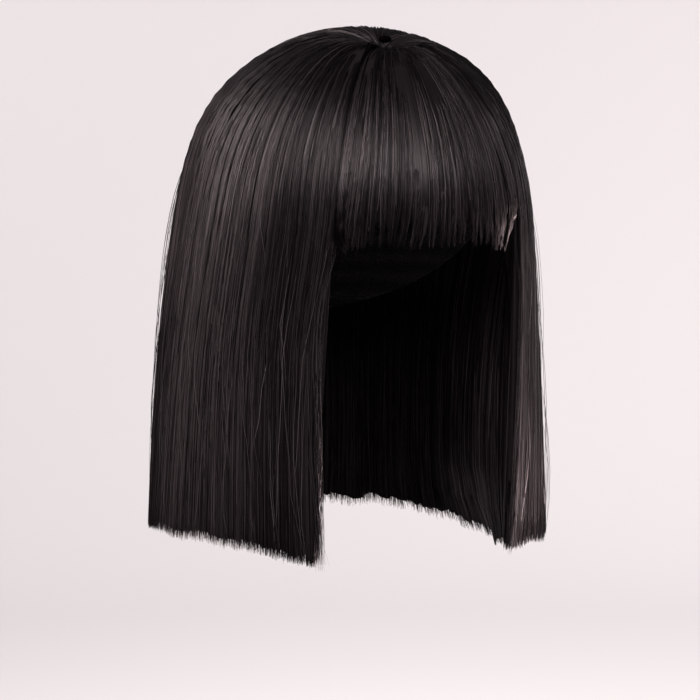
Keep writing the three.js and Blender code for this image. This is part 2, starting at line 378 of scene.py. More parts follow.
class HairSection:
    """The faces of one section as grids of points, a column for each fall line and a row for each place."""

    def __init__(self, node, columns, crown_rows, fall_rows):
        self.node = node
        self.section = SECTIONS[node]
        self.surface = surface_of(node)
        self.shares = np.linspace(0, 1, columns)
        self.crown_rows = crown_rows
        self.fall_rows = fall_rows
        safe = SAFE_EDGE + (1 - 2 * SAFE_EDGE) * self.shares
        lines = [self.fall_line(share) for share in safe]
        self.outer = eased(np.array([line[0] for line in lines]), OUTER_EASING["along"])
        self.outer = eased(self.outer.transpose(1, 0, 2), OUTER_EASING["across"]).transpose(1, 0, 2)
        self.inner = eased(np.array([line[1] for line in lines]), INNER_EASING)
        self.hang_longer()
        lift = edge_fill(self.outer) + swelling(self.outer)
        self.outer += face_normals(self.outer) * lift[:, :, None]
        # Shares of the width at which partings lie
        first, last = self.section["from"], self.section["to"]
        self.partings = [
            {**parting, "share": (parting["at"] - first) / (last - first)}
            for parting in PARTINGS
            if first < parting["at"] < last
        ]

    def hang_longer(self):
        """Moves the cut of the faces that hang to where the photograph has it."""
        if not self.fall_rows:
            return
        first, last = self.section["from"], self.section["to"]
        azimuths = first + (last - first) * self.shares
        places = [row["at"] for row in CUT_SHIFTS]
        longer = np.interp(azimuths, places, [row["longer"] for row in CUT_SHIFTS])
        late = np.zeros(self.outer.shape[1])
        late[self.crown_rows:] = np.linspace(0, 1, self.fall_rows + 1)[1:] ** 2
        self.outer[:, :, 2] -= longer[:, None] * late
        self.inner[:, :, 2] -= (longer[:, None] + INNER_LONGER) * late

    def crown_direction(self, share, rise):
        """From the middle of the widest level, below the whorl, towards a place on the crown."""
        rim = RIM(rim_azimuth(self.section, share, WIDEST_LEVEL))
        flat = (rim - Vector((WHORL.x, WHORL.y, 0))).normalized()
        return flat * math.cos(rise) + Vector((0, 0, math.sin(rise)))

    def on_crown(self, share, rise, outer):
        centre = Vector((WHORL.x, WHORL.y, WIDEST_LEVEL))
        return cast(self.surface, centre, self.crown_direction(share, rise), outer)

    def on_fall(self, share, level, outer):
        back = EDGE_BACK * smoothstep(WIDEST_LEVEL - level, 0, SWING_DEPTH)
        if self.section["swing_to"]:
            share = share * (1 - back)
        if self.section["swing_from"]:
            share = 1 - (1 - share) * (1 - back)
        azimuth = rim_azimuth(self.section, share, level)
        return cast(self.surface, Vector((0, 0, level)), sky_direction(azimuth, 0), outer)

    def last_place(self, found_at, held, missed):
        """How far down a face goes, found by halving between a place on it and one past it."""
        for _ in range(HALVINGS):
            middle = (held + missed) / 2
            if found_at(middle):
                held = middle
            else:
                missed = middle
        return held

    def cave(self, share):
        """Behind the whorl the inner face starts further back, which leaves a dark hollow under the lip."""
        azimuth = rim_azimuth(self.section, share, WIDEST_LEVEL)
        return WHORL_CAVE * float(smoothstep(-math.cos(azimuth - VIEW_AZIMUTH), -0.2, 0.6))

    def thickness(self, place, share):
        """How thick the hair is at a rise on the crown or a level below it, or nothing past its cut."""
        find = self.on_fall if self.fall_rows else self.on_crown
        leaves = find(share, place, True)
        enters = find(share, place, False)
        return (leaves - enters).length if leaves and enters else 0.0

    def cut_places(self, share):
        """Where the outer and the inner face end: past the inner one the wall grows thin."""
        ends = FALL_ENDS if self.fall_rows else FRINGE_ENDS
        whole = WHOLE_SHARE * self.thickness(ends["held"], share)
        outer = self.last_place(lambda place: self.thickness(place, share) > 0, **ends)
        inner = self.last_place(lambda place: self.thickness(place, share) > whole, ends["held"], outer)
        return outer, inner

    def fall_line(self, share):
        faces = []
        for outer, end in zip((True, False), self.cut_places(share)):
            rise_end = 0.0 if self.fall_rows else end
            places = np.linspace(0, 1, self.crown_rows) ** WHORL_ROW_GROWTH
            start = WHORL_START if outer else WHORL_START - self.cave(share)
            rises = start + (rise_end - start) * places
            points = [self.on_crown(share, rise, outer) for rise in rises]
            if self.fall_rows:
                levels = np.linspace(WIDEST_LEVEL, end, self.fall_rows + 1)[1:]
                points += [self.on_fall(share, level, outer) for level in levels]
            faces.append(mended(points))
        return faces


def face_normals(grid):
    across = np.gradient(grid, axis=0)
    along = np.gradient(grid, axis=1)
    normal = np.cross(along, across)
    length = np.linalg.norm(normal, axis=2, keepdims=True)
    return normal / np.maximum(length, 1e-12)


def row_widths(grid):
    """How wide a face is at each row."""
    return np.linalg.norm(np.diff(grid, axis=0), axis=2).sum(axis=0)


def edge_fill(grid):
    """Loose hair levels the grooves where two sections meet."""
    steps = np.linalg.norm(np.diff(grid, axis=0), axis=2)
    from_edge = np.concatenate([np.zeros((1, grid.shape[1])), np.cumsum(steps, axis=0)])
    nearest = np.minimum(from_edge, from_edge[-1:] - from_edge)
    return EDGE_GROOVE * np.clip(1 - nearest / EDGE_GROOVE_REACH, 0, 1) ** 1.5


def mended(points):
    """A line's points, with one that a ray missed put where its neighbour is."""
    for index, point in enumerate(points):
        if point is None:
            known = [p for p in points[index:] + points[:index][::-1] if p is not None]
            points[index] = known[0].copy()
    return np.array([tuple(p) for p in points])


def eased(grid, passes):
    """Eases the flats of the faceted solid along each line and keeps its two ends."""
    for _ in range(passes):
        middle = (grid[:, :-2] + 2 * grid[:, 1:-1] + grid[:, 2:]) / 4
        grid = np.concatenate([grid[:, :1], middle, grid[:, -1:]], axis=1)
    return grid


def resampled(grid, columns, rows, softness):
    """The same face with more columns and rows, and the facets between columns rounded off."""
    for axis, count in ((0, columns), (1, rows)):
        place = np.linspace(0, grid.shape[axis] - 1, count)
        left = np.minimum(place.astype(int), grid.shape[axis] - 2)
        blend = (place - left).reshape((-1, 1, 1) if axis == 0 else (1, -1, 1))
        grid = np.take(grid, left, axis) * (1 - blend) + np.take(grid, left + 1, axis) * blend
    for _ in range(softness):
        middle = (grid[:-2] + 2 * grid[1:-1] + grid[2:]) / 4
        grid = np.concatenate([grid[:1], middle, grid[-1:]], axis=0)
    return grid


def find_rim():
    """The outline of the hair at the widest level, as a function of the azimuth."""
    surfaces = [surface_of(node) for node in SECTIONS]
    azimuths = np.radians(np.arange(-180, 181, RIM_STEP))
    reaches = []
    for azimuth in azimuths:
        reach = 0.0
        for lift in RIM_LIFTS:
            for surface in surfaces:
                point = cast(surface, Vector((0, 0, WIDEST_LEVEL + lift)), sky_direction(azimuth, 0), True)
                if point is not None:
                    reach = max(reach, math.hypot(point.x, point.y))
        reaches.append(reach)

    def rim(azimuth):
        turned = (azimuth + math.pi) % (2 * math.pi) - math.pi
        return sky_direction(azimuth, 0) * float(np.interp(turned, azimuths, reaches))

    return rim


RIM = find_rim()

hair = {node: HairSection(node, **grid) for node, grid in GRIDS.items()}


# Materials


GLOSS_TINT = (1.0, 0.87, 0.89, 1)

# Painted sheen and shade: how much of its sheen and tone the hair keeps, by where a point lies, standing in
# for where the lights fall. By level: a share on the crown, all of it at the whorl and where the hair turns
# down, and less lower down. At the front it fades sooner, for the shade where the fringe curves in above its
# tips, and behind the wig there is less of it. Lighter streaks keep theirs further down
PAINTED_SHEEN = {
    "crown": -14 * MM,
    "full": -46 * MM,
    "crown_share": 0.42,
    "whorl": 7 * MM,
    "whorl_share": 1.0,
    "streaks": 12 * MM,
    "front": -56 * MM,
    "side": -42 * MM,
    "front_fades": -57 * MM,
    "front_ends": -86 * MM,
    "front_share": 0.45,
    "side_fades": -106 * MM,
    "side_ends": -150 * MM,
    "side_share": 0.85,
    "behind": 2 * MM,
    "far_behind": 36 * MM,
    "behind_share": 0.3,
}


def painted_sheen_by_level(maker, streak):
    """Painted sheen and shade: a share of full sheen that depends on how high and how far forward a point
    lies.
    """
    place = maker.node("ShaderNodeTexCoord").outputs["Object"]
    place = maker.node("ShaderNodeSeparateXYZ", {"Vector": place}).outputs
    level = maker.maths("ADD", place["Z"], maker.maths("MULTIPLY", streak, PAINTED_SHEEN["streaks"]))
    ahead = {"From Min": PAINTED_SHEEN["front"], "From Max": PAINTED_SHEEN["side"]}
    lower = {}
    for socket, key in (("From Max", "fades"), ("From Min", "ends"), ("To Min", "share")):
        ends = {"To Min": PAINTED_SHEEN["front_" + key], "To Max": PAINTED_SHEEN["side_" + key]}
        lower[socket] = maker.ranged(place["Y"], {**ahead, **ends})
    back = {"From Min": PAINTED_SHEEN["behind"], "From Max": PAINTED_SHEEN["far_behind"]}
    back_share = maker.ranged(place["Y"], {**back, "To Min": 1.0, "To Max": PAINTED_SHEEN["behind_share"]})
    lower["To Min"] = maker.maths("MULTIPLY", lower["To Min"], back_share)
    low_share = maker.ranged(level, {**lower, "To Max": 1.0})
    whorl = {"From Min": 0.0, "From Max": PAINTED_SHEEN["whorl"]}
    top_ends = {"To Min": PAINTED_SHEEN["crown_share"], "To Max": PAINTED_SHEEN["whorl_share"]}
    top_share = maker.ranged(place["Z"], {**whorl, **top_ends})
    crown = {"From Min": PAINTED_SHEEN["full"], "From Max": PAINTED_SHEEN["crown"]}
    crown_share = maker.ranged(place["Z"], {**crown, "To Min": 1.0, "To Max": top_share})
    return maker.maths("MULTIPLY", crown_share, low_share)


def fibre_material(name, dark, light, roughness, specular, with_painted_sheen=True):
    """Black synthetic fibre: each strand has its own tone, and so its own gloss, under painted shade and
    sheen.
    """
    maker = MaterialMaker(name)
    own_tone_and_shade = maker.node("ShaderNodeAttribute", attribute_name="strand_tone_and_shade").outputs["Fac"]
    painted_sheen = painted_sheen_by_level(maker, own_tone_and_shade) if with_painted_sheen else 1.0
    shaded_tone = maker.maths("MULTIPLY", own_tone_and_shade, painted_sheen)

    def by_tone(ends):
        return maker.ranged(shaded_tone, {"To Min": ends[0], "To Max": ends[1]}, "LINEAR")

    return maker.shaded({
        "Base Color": maker.blended(shaded_tone, dark, light),
        "Roughness": by_tone(roughness),
        "Specular IOR Level": maker.maths("MULTIPLY", by_tone(specular), painted_sheen),
        "Specular Tint": GLOSS_TINT,
    })


STREAKS = {"Scale": 1.6, "Detail": 6.0, "Roughness": 0.75}
STREAK_STRETCH = 0.012  # a streak is as much finer across the hair than along it


def mass_material(name, dark, light, roughness, specular):
    """The packed fibres under the loose strands: streaks that follow the fall of the hair, with painted
    sheen.
    """
    maker = MaterialMaker(name)
    fall = maker.node("ShaderNodeUVMap", uv_map="fall").outputs["UV"]
    fall = maker.node("ShaderNodeMapping", {"Scale": (1.0, STREAK_STRETCH, 1.0), "Vector": fall})
    streaks = maker.node("ShaderNodeTexNoise", {**STREAKS, "Vector": fall.outputs["Vector"]}).outputs["Fac"]
    return maker.shaded({
        "Base Color": maker.blended(streaks, dark, light),
        "Normal": maker.bumped(streaks, 0.5, 0.3 * MM),
        "Roughness": roughness,
        "Specular IOR Level": maker.maths("MULTIPLY", painted_sheen_by_level(maker, streaks), specular),
        "Specular Tint": GLOSS_TINT,
    })


DARKEST = (0.001, 0.0008, 0.0009)
LIGHT_FIBRE = (0.02, 0.0155, 0.0165)
LIGHT_STRAY = (0.024, 0.0195, 0.0205)
LIGHT_MASS = (0.0035, 0.0026, 0.0028)
LIGHT_SHADED = (0.002, 0.0015, 0.0016)
FIBRE = fibre_material("black_fibre", DARKEST, LIGHT_FIBRE, (0.32, 0.25), (0.075, 0.165))
# Stray strands: a lighter, glossier copy of the same fibre, painted light so that thin loose hair reads
# grey, kept out of the painted sheen by level
STRAY_FIBRE = fibre_material("stray_fibre", DARKEST, LIGHT_STRAY, (0.3, 0.3), (0.08, 0.26), with_painted_sheen=False)
MASS = mass_material("packed_fibre", DARKEST, LIGHT_MASS, 0.32, 0.095)
# Painted shade: a darker, duller copy of the packed fibre for the inside of the hair and its cut
SHADED_MASS = mass_material("packed_fibre_inside", DARKEST, LIGHT_SHADED, 0.6, 0.03)

NET_COLOUR = (0.0025, 0.002, 0.0022)
WEFT_COLOUR = (0.012, 0.010, 0.011)
NET_RELIEF = 6.0  # how much the threads of the net stand out against the wefts


def cap_material():
    """Dark elastic net with rows of stitched wefts, which follow the head level by level."""
    maker = MaterialMaker("cap_net")
    place = maker.node("ShaderNodeTexCoord").outputs["Object"]
    weft_sockets = {"Scale": 28.0, "Distortion": 0.4, "Vector": place}
    wefts = maker.node("ShaderNodeTexWave", weft_sockets, bands_direction="Z").outputs["Fac"]
    net_sockets = {"Scale": 900.0, "Vector": place}
    net = maker.node("ShaderNodeTexVoronoi", net_sockets, feature="DISTANCE_TO_EDGE").outputs["Distance"]
    relief = maker.node("ShaderNodeMath", {0: net, 1: NET_RELIEF, 2: wefts}, operation="MULTIPLY_ADD")
    return maker.shaded({
        "Base Color": maker.blended(wefts, NET_COLOUR, WEFT_COLOUR),
        "Normal": maker.bumped(relief.outputs[0], 0.8, 0.8 * MM),
        "Roughness": 0.85,
        "Specular IOR Level": 0.15,
    })


CAP = cap_material()
for material_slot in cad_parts["wig_cap"].material_slots:
    material_slot.material = CAP


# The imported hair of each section: a dense closed body whose outer face is combed into fine ridges

MASS_SUNK = 0.7 * MM
# Ridges: their height and their width across the hair, and how far each runs before it fades
RIDGES = [
    {"height": 0.20 * MM, "width": 0.9 * MM, "run": 90 * MM},
    {"height": 0.30 * MM, "width": 2.0 * MM, "run": 120 * MM},
    {"height": 0.36 * MM, "width": 5.5 * MM, "run": 200 * MM},
]
RIDGE_COLUMN = 0.62 * MM
MASS_CROWN_ROWS = 36
WHORL_RIDGES = 0.3  # share of their height that the ridges have at the whorl
RIDGES_FADE = (0.3, 1.0)  # shares of its greatest width between which the hair's ridges grow whole
MASS_SOFTNESS = 2.2 * MM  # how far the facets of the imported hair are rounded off
END_WIDTH = 3 * MM
END_UNEVEN = 0.45
END_LATE = 6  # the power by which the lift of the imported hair's end comes late


def drifting_noise(generator, across, along, width, run):
    """Smooth noise between -1 and 1 over a grid, in long streaks that fade in and out and drift."""
    across_knots = int(across[-1] / width) + 3
    along_knots = int(along[-1] / run) + 3
    knots = generator.uniform(-1, 1, (across_knots, along_knots))

    def eased_place(place, count):
        left = np.minimum(place.astype(int), count - 2)
        blend = place - left
        return left, blend * blend * (3 - 2 * blend)

    left, side = eased_place(across / width, across_knots)
    above, down = eased_place(along / run, along_knots)
    rows = knots[left] * (1 - side[:, None]) + knots[left + 1] * side[:, None]
    return rows[:, above] * (1 - down) + rows[:, above + 1] * down


def running_total(steps):
    return np.concatenate([[0], np.cumsum(steps)])


def arc_lengths(points):
    return running_total(np.linalg.norm(np.diff(points, axis=0), axis=1))


def parting_grooves(section, outer):
    """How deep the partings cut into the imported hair."""
    columns = outer.shape[0]
    shares = np.linspace(0, 1, columns)[:, None]
    widths = row_widths(outer)
    depth = np.zeros(outer.shape[:2])
    for parting in section.partings:
        apart = (shares - parting["share"]) * widths[None, :] / parting["gap"]
        depth += PARTING_DEPTH * np.exp(-(apart**2)) * parting_open(parting, outer[:, :, 2])
    return depth


def build_mass(piece_name, section, end_lift, seed, column_width=RIDGE_COLUMN):
    """A section's packed hair, between its two faces, which ends short of the cut by a lift."""
    generator = np.random.default_rng(seed)
    widest = section.outer[:, section.crown_rows - 1]
    columns = int(arc_lengths(widest)[-1] / column_width)
    rows = int(MASS_CROWN_ROWS * section.outer.shape[1] / section.crown_rows)
    softness = int(MASS_SOFTNESS / column_width) ** 2
    outer = resampled(section.outer, columns, rows, softness)
    inner = resampled(section.inner, columns, rows // 2, softness)
    normal = face_normals(outer)
    across = arc_lengths(outer[:, min(rows - 1, MASS_CROWN_ROWS - 1)])
    along = arc_lengths(outer[columns // 2])
    # Ridges are as fine as the hair is narrow towards the whorl
    narrow = row_widths(outer) / across[-1]
    height = sum(
        ridge["height"] * drifting_noise(generator, across, along, ridge["width"], ridge["run"])
        for ridge in RIDGES
    )
    relief = np.maximum(WHORL_RIDGES * narrow, smoothstep(narrow, *RIDGES_FADE))
    depth = MASS_SUNK - height * relief[None, :] + parting_grooves(section, outer)
    outer = outer - normal * depth[:, :, None]
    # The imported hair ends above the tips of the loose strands, and unevenly
    uneven = drifting_noise(generator, across, np.array([0.0]), END_WIDTH, RIDGES[0]["run"])
    lift = end_lift * (1 + END_UNEVEN * uneven)
    for face in (outer, inner):
        face[:, :, 2] += lift * np.linspace(0, 1, face.shape[1]) ** END_LATE
    ring = np.concatenate([outer, inner[:, ::-1]], axis=1)
    around = ring.shape[1]
    base = np.arange(columns - 1)[:, None] * around
    row = np.arange(around)[None, :]
    after = (row + 1) % around
    faces = np.stack([base + row, base + around + row, base + around + after, base + after], axis=2)
    faces = [tuple(face) for face in faces.reshape(-1, 4).tolist()]
    for column, turned in ((0, False), (columns - 1, True)):
        rim = [column * around + row for row in range(around)]
        faces.append(tuple(rim[::-1] if turned else rim))
    piece = mesh_object(piece_name, ring.reshape(-1, 3).tolist(), faces)
    write_fall_map(piece, ring)
    piece.data.materials.append(MASS)
    piece.data.materials.append(SHADED_MASS)
    # Painted shade: the inner faces and the last two rows of the outer face, at the cut, take the darker,
    # duller copy, which also keeps a glint off the cut edge
    for face in piece.data.polygons:
        if face.vertices[0] % around >= rows - 2:
            face.material_index = 1
    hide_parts(section.node)
    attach(piece, "root")


def write_fall_map(piece, ring):
    """Millimetres across the hair, and along it, as a UV map."""
    columns, around = ring.shape[:2]
    widths = np.linalg.norm(np.diff(ring, axis=0), axis=2).max(axis=1)
    across = running_total(widths) / MM
    lengths = np.linalg.norm(np.diff(ring, axis=1), axis=2).mean(axis=0)
    along = running_total(lengths) / MM
    layer = piece.data.uv_layers.new(name="fall")
    corner_vertex = np.zeros(len(piece.data.loops), np.int32)
    piece.data.loops.foreach_get("vertex_index", corner_vertex)
    column, row = np.divmod(corner_vertex, around)
    layer.data.foreach_set("uv", np.stack([across[column], along[row]], axis=1).astype(np.float32).ravel())


build_mass("fringe_hair_mass", hair["fringe"], end_lift=9 * MM, seed=11)
build_mass("right_hair_mass", hair["side_hair_right"], end_lift=3 * MM, seed=12)
build_mass("left_hair_mass", hair["side_hair_left"], end_lift=3 * MM, seed=13)
build_mass("back_hair_mass", hair["back_hair"], end_lift=3 * MM, seed=14, column_width=0.8 * MM)


# Loose strands: a node tree combs a lock of strands along each guide line


# A strand, in shares of its length: it has risen out of the hair, is at full thickness and is out of its
# root's painted shade, at its own tone, at these places, and thins again from the last one
ROOT_RISEN = 0.14
FULL_FROM = 0.2
ROOT_SHADE_ENDS = 0.4
THINS_FROM = 0.88
ROOT_THICKNESS = 0.3  # shares of its full thickness
TIP_THICKNESS = 0.25
# Painted shade: the share of its tone that a strand keeps at its root, so that the crown reads dark and the
# roots hide where they rise out of the hair
PAINTED_ROOT_TONE = 0.05
TIP_POWER = 8.0  # strands draw together and end unevenly only near their tips


class TreeMaker(NodeMaker):
    """A geometry tree with named sizes."""

    def __init__(self, name):
        super().__init__(bpy.data.node_groups.new(name, "GeometryNodeTree"))
        self.tree.interface.new_socket("Geometry", in_out="INPUT", socket_type="NodeSocketGeometry")
        self.tree.interface.new_socket("Geometry", in_out="OUTPUT", socket_type="NodeSocketGeometry")
        self.start = self.tree.nodes.new("NodeGroupInput")
        self.end = self.tree.nodes.new("NodeGroupOutput")

    def size(self, name, kind="NodeSocketFloat", value=0.0):
        socket = self.tree.interface.new_socket(name, in_out="INPUT", socket_type=kind)
        socket.default_value = value
        return self.start.outputs[name]

    def scaled(self, vector, amount):
        made = self.node("ShaderNodeVectorMath", {"Vector": vector, "Scale": amount}, operation="SCALE")
        return made.outputs[0]

    def summed(self, first, second):
        return self.node("ShaderNodeVectorMath", {0: first, 1: second}, operation="ADD").outputs[0]

    def attribute(self, name, kind="FLOAT"):
        made = self.node("GeometryNodeInputNamedAttribute", {"Name": name}, data_type=kind)
        return made.outputs["Attribute"]


def comb_tree():
    """Copies each guide line into a lock of strands and gives them thickness, tone and a material."""
    maker = TreeMaker("comb_strands")
    count = maker.size("Strands per Lock", "NodeSocketInt", 12)
    radius = maker.size("Strand Radius", value=0.26 * MM)
    depth = maker.size("Lock Depth", value=1.2 * MM)
    proud = maker.size("Stands Proud", value=0.4 * MM)
    wander = maker.size("Wander", value=0.8 * MM)
    gather = maker.size("Tip Gather", value=0.4)
    ragged = maker.size("Ragged Cut", value=2.5 * MM)
    pointed = maker.size("Pointed Lock", value=1.5 * MM)
    bow = maker.size("Bow", value=0.0)
    darkness = maker.size("Darkness", value=3.0)
    root = maker.size("Root Depth", value=2.0 * MM)
    seed = maker.size("Seed", "NodeSocketInt", 1)
    material = maker.size("Material", "NodeSocketMaterial", None)

    curves = maker.node("GeometryNodeMeshToCurve", {"Mesh": maker.start.outputs["Geometry"]}).outputs[0]
    copies = maker.node(
        "GeometryNodeDuplicateElements", {"Geometry": curves, "Amount": count}, domain="SPLINE"
    ).outputs["Geometry"]

    strand = maker.node(
        "GeometryNodeFieldOnDomain",
        {"Value": maker.node("GeometryNodeInputIndex").outputs[0]},
        data_type="INT",
        domain="CURVE",
    ).outputs[0]

    def chance(low, high, step):
        made = maker.node("FunctionNodeRandomValue", {"ID": strand}, data_type="FLOAT")
        made.inputs[2].default_value = low
        made.inputs[3].default_value = high
        maker.wire(made.inputs["Seed"], maker.maths("ADD", seed, float(step)))
        return made.outputs[1]

    along = maker.node("GeometryNodeSplineParameter").outputs["Factor"]

    def waves(step, frequency):
        place = maker.maths("MULTIPLY_ADD", along, float(frequency))
        maker.wire(place.node.inputs[2], chance(0, 900, step))
        sockets = {"W": place, "Scale": 1.0, "Detail": 0.0}
        noise = maker.node("ShaderNodeTexNoise", sockets, noise_dimensions="1D")
        return maker.maths("SUBTRACT", noise.outputs[0], 0.5)

    # Across the lock, drawn together towards the tips
    drawn = maker.maths("MULTIPLY", maker.maths("POWER", along, TIP_POWER), gather)
    open_share = maker.maths("SUBTRACT", 1.0, drawn)
    place_in_lock = chance(-1, 1, 1)
    side = maker.maths("MULTIPLY", place_in_lock, maker.attribute("half_width"))
    side = maker.maths("MULTIPLY", side, open_share)
    astray = maker.maths("MULTIPLY", waves(2, 3.0), maker.maths("MULTIPLY", wander, 3.0))
    side = maker.maths("ADD", side, astray)

    # In depth, with the root tucked under the hair
    lift = maker.maths("MULTIPLY", chance(0, 1, 3), maker.maths("ADD", depth, proud))
    lift = maker.maths("SUBTRACT", lift, depth)
    lift = maker.maths("ADD", lift, maker.maths("MULTIPLY", waves(4, 2.0), wander))
    rising = {"From Min": 0.0, "From Max": ROOT_RISEN, "To Min": 1.0, "To Max": 0.0}
    rooted = maker.ranged(along, rising)
    lift = maker.maths("SUBTRACT", lift, maker.maths("MULTIPLY", rooted, root))

    # Stray strands bow away from the rest
    arch = maker.maths("MULTIPLY", along, maker.maths("SUBTRACT", 1.0, along))
    arch = maker.maths("MULTIPLY", arch, maker.maths("MULTIPLY", chance(0, 4, 8), bow))
    lift = maker.maths("ADD", lift, arch)

    # Uneven tips, the outer strands of a lock shorter than its middle ones
    late = maker.maths("POWER", along, TIP_POWER)
    uneven = maker.maths("MULTIPLY", chance(-1, 1, 5), ragged)
    shorter = maker.maths("MULTIPLY", maker.maths("MULTIPLY", place_in_lock, place_in_lock), pointed)
    drop = maker.maths("MULTIPLY", maker.maths("ADD", uneven, shorter), late)
    fall = maker.node("ShaderNodeCombineXYZ", {"Z": drop}).outputs[0]

    offset = maker.summed(
        maker.scaled(maker.attribute("across", "FLOAT_VECTOR"), side),
        maker.scaled(maker.attribute("outward", "FLOAT_VECTOR"), lift),
    )
    placed = maker.node(
        "GeometryNodeSetPosition", {"Geometry": copies, "Offset": maker.summed(offset, fall)}
    ).outputs[0]

    # Thickness, with a fine root and a finer tip
    grows = {"From Min": 0.0, "From Max": FULL_FROM, "To Min": ROOT_THICKNESS, "To Max": 1.0}
    rise = maker.ranged(along, grows, "LINEAR")
    thins = {"From Min": THINS_FROM, "From Max": 1.0, "To Min": 1.0, "To Max": TIP_THICKNESS}
    thin = maker.ranged(along, thins, "LINEAR")
    thickness = maker.maths("MULTIPLY", maker.maths("MULTIPLY", rise, thin), radius)
    thickness = maker.maths("MULTIPLY", thickness, chance(0.65, 1.35, 6))
    sized = maker.node("GeometryNodeSetCurveRadius", {"Curve": placed, "Radius": thickness}).outputs[0]
    # A few light strands among many dark ones, and painted shade that darkens all of them towards the root
    root_shade_range = {"From Min": 0.0, "From Max": ROOT_SHADE_ENDS, "To Min": PAINTED_ROOT_TONE, "To Max": 1.0}
    painted_root_shade = maker.ranged(along, root_shade_range, "LINEAR")
    shaded_tone = maker.maths("MULTIPLY", maker.maths("POWER", chance(0, 1, 7), darkness), painted_root_shade)
    toned = maker.node(
        "GeometryNodeStoreNamedAttribute",
        {"Geometry": sized, "Name": "strand_tone_and_shade", "Value": shaded_tone},
        data_type="FLOAT",
        domain="POINT",
    ).outputs[0]
    ring = maker.node("GeometryNodeCurvePrimitiveCircle", {"Resolution": 3, "Radius": 1.0}).outputs[0]
    tube_sockets = {"Curve": toned, "Profile Curve": ring, "Fill Caps": True}
    tubes = maker.node("GeometryNodeCurveToMesh", tube_sockets)
    # Where the tubes have a scale of their own, they don't take the strand's thickness by themselves
    if "Scale" in tubes.inputs:
        maker.wire(tubes.inputs["Scale"], maker.node("GeometryNodeInputRadius").outputs[0])
    smooth = maker.node("GeometryNodeSetShadeSmooth", {"Geometry": tubes.outputs[0]}).outputs[0]
    real = maker.node("GeometryNodeRealizeInstances", {"Geometry": smooth}).outputs[0]
    dressed = maker.node("GeometryNodeSetMaterial", {"Geometry": real, "Material": material}).outputs[0]
    maker.wire(maker.end.inputs["Geometry"], dressed)
    return maker.tree


COMB = comb_tree()
LATE_POWER = 2.5  # a guide drops and leans mostly towards its end


class Guides:
    """Guide lines for locks, gathered into one wire mesh with the attributes that the tree reads."""

    def __init__(self):
        self.points = []
        self.across = []
        self.outward = []
        self.half_width = []
        self.edges = []

    def add(self, face, share, rows, half_width, drop=0.0, lean=0.0):
        """A guide down a face at a share of its width, through the rows that are named."""
        columns = face.points.shape[0]
        line = []
        across = []
        outwards = []
        halves = []
        for step, row in enumerate(rows):
            half = half_width * face.widths[row] / face.widths.max()
            apart = face.parted(share, row, half)
            inside = min(max(apart, 0), 1)
            place = inside * (columns - 1)
            left = min(int(place), columns - 2)
            blend = place - left
            side = face.points[left + 1, row] - face.points[left, row]
            side = side / max(np.linalg.norm(side), 1e-9)
            late = (step / (len(rows) - 1)) ** LATE_POWER
            point = face.points[left, row] * (1 - blend) + face.points[left + 1, row] * blend
            point = point + side * ((apart - inside) * face.widths[row] + lean * late)
            point[2] -= drop * late
            line.append(point)
            across.append(side)
            outwards.append(face.normals[left, row] * (1 - blend) + face.normals[left + 1, row] * blend)
            halves.append(half)
        self.add_line(line, across, outwards, halves)

    def add_line(self, line, across, outwards, halves):
        base = len(self.points)
        self.points += line
        self.across += across
        self.outward += outwards
        self.half_width += halves
        self.edges += [(base + step, base + step + 1) for step in range(len(line) - 1)]

    def comb(self, name, look, strands, seed):
        """Runs the tree on the guides and keeps what it makes as one plain piece."""
        sizes = {**look, "Strands per Lock": strands, "Seed": seed}
        mesh = bpy.data.meshes.new(name + "_guides")
        mesh.from_pydata([tuple(p) for p in self.points], self.edges, [])
        for key, kind, values, field in (
            ("across", "FLOAT_VECTOR", self.across, "vector"),
            ("outward", "FLOAT_VECTOR", self.outward, "vector"),
            ("half_width", "FLOAT", self.half_width, "value"),
        ):
            layer = mesh.attributes.new(key, kind, "POINT")
            layer.data.foreach_set(field, np.array(values, np.float32).ravel())
        holder = bpy.data.objects.new(name + "_guides", mesh)
        scene.collection.objects.link(holder)
        modifier = holder.modifiers.new("comb", "NODES")
        modifier.node_group = COMB
        for item in COMB.interface.items_tree:
            if item.in_out == "INPUT" and item.name in sizes:
                modifier[item.identifier] = sizes[item.name]
        graph = bpy.context.evaluated_depsgraph_get()
        made = bpy.data.meshes.new_from_object(holder.evaluated_get(graph))
        made.name = name
        bpy.data.objects.remove(holder)
        piece = bpy.data.objects.new(name, made)
        scene.collection.objects.link(piece)
        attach(piece, "root")


class Face:
    """A face that strands lie on: the outer one, the inner one, or one between them."""

    def __init__(self, section, depth):
        rows = min(section.outer.shape[1], section.inner.shape[1])
        outer = section.outer[:, :rows]
        inner = section.inner[:, :rows]
        self.points = outer * (1 - depth) + inner * depth
        normals = face_normals(self.points)
        self.normals = -normals if depth > 0.5 else normals
        self.widths = row_widths(self.points)
        self.crown_rows = section.crown_rows
        self.rows = rows
        self.levels = self.points[:, :, 2].mean(axis=0)
        self.partings = section.partings if depth == 0 else []

    def guide_rows(self, first, step=2, shift=0):
        """Every so many rows from the first one on, counted up from a shifted end, and always the last."""
        return sorted(set(range(self.rows - 1 - shift, first - 1, -step)) | {first, self.rows - 1})

    def parted(self, share, row, half_width):
        """A share of the width, moved aside where it would close a parting."""
        for parting in self.partings:
            reach = (parting["gap"] / 2 + half_width) / self.widths[row]
            apart = share - parting["share"]
            if abs(apart) < reach:
                aside = math.copysign(reach, apart) - apart
                share += aside * parting_open(parting, self.levels[row])
        return share


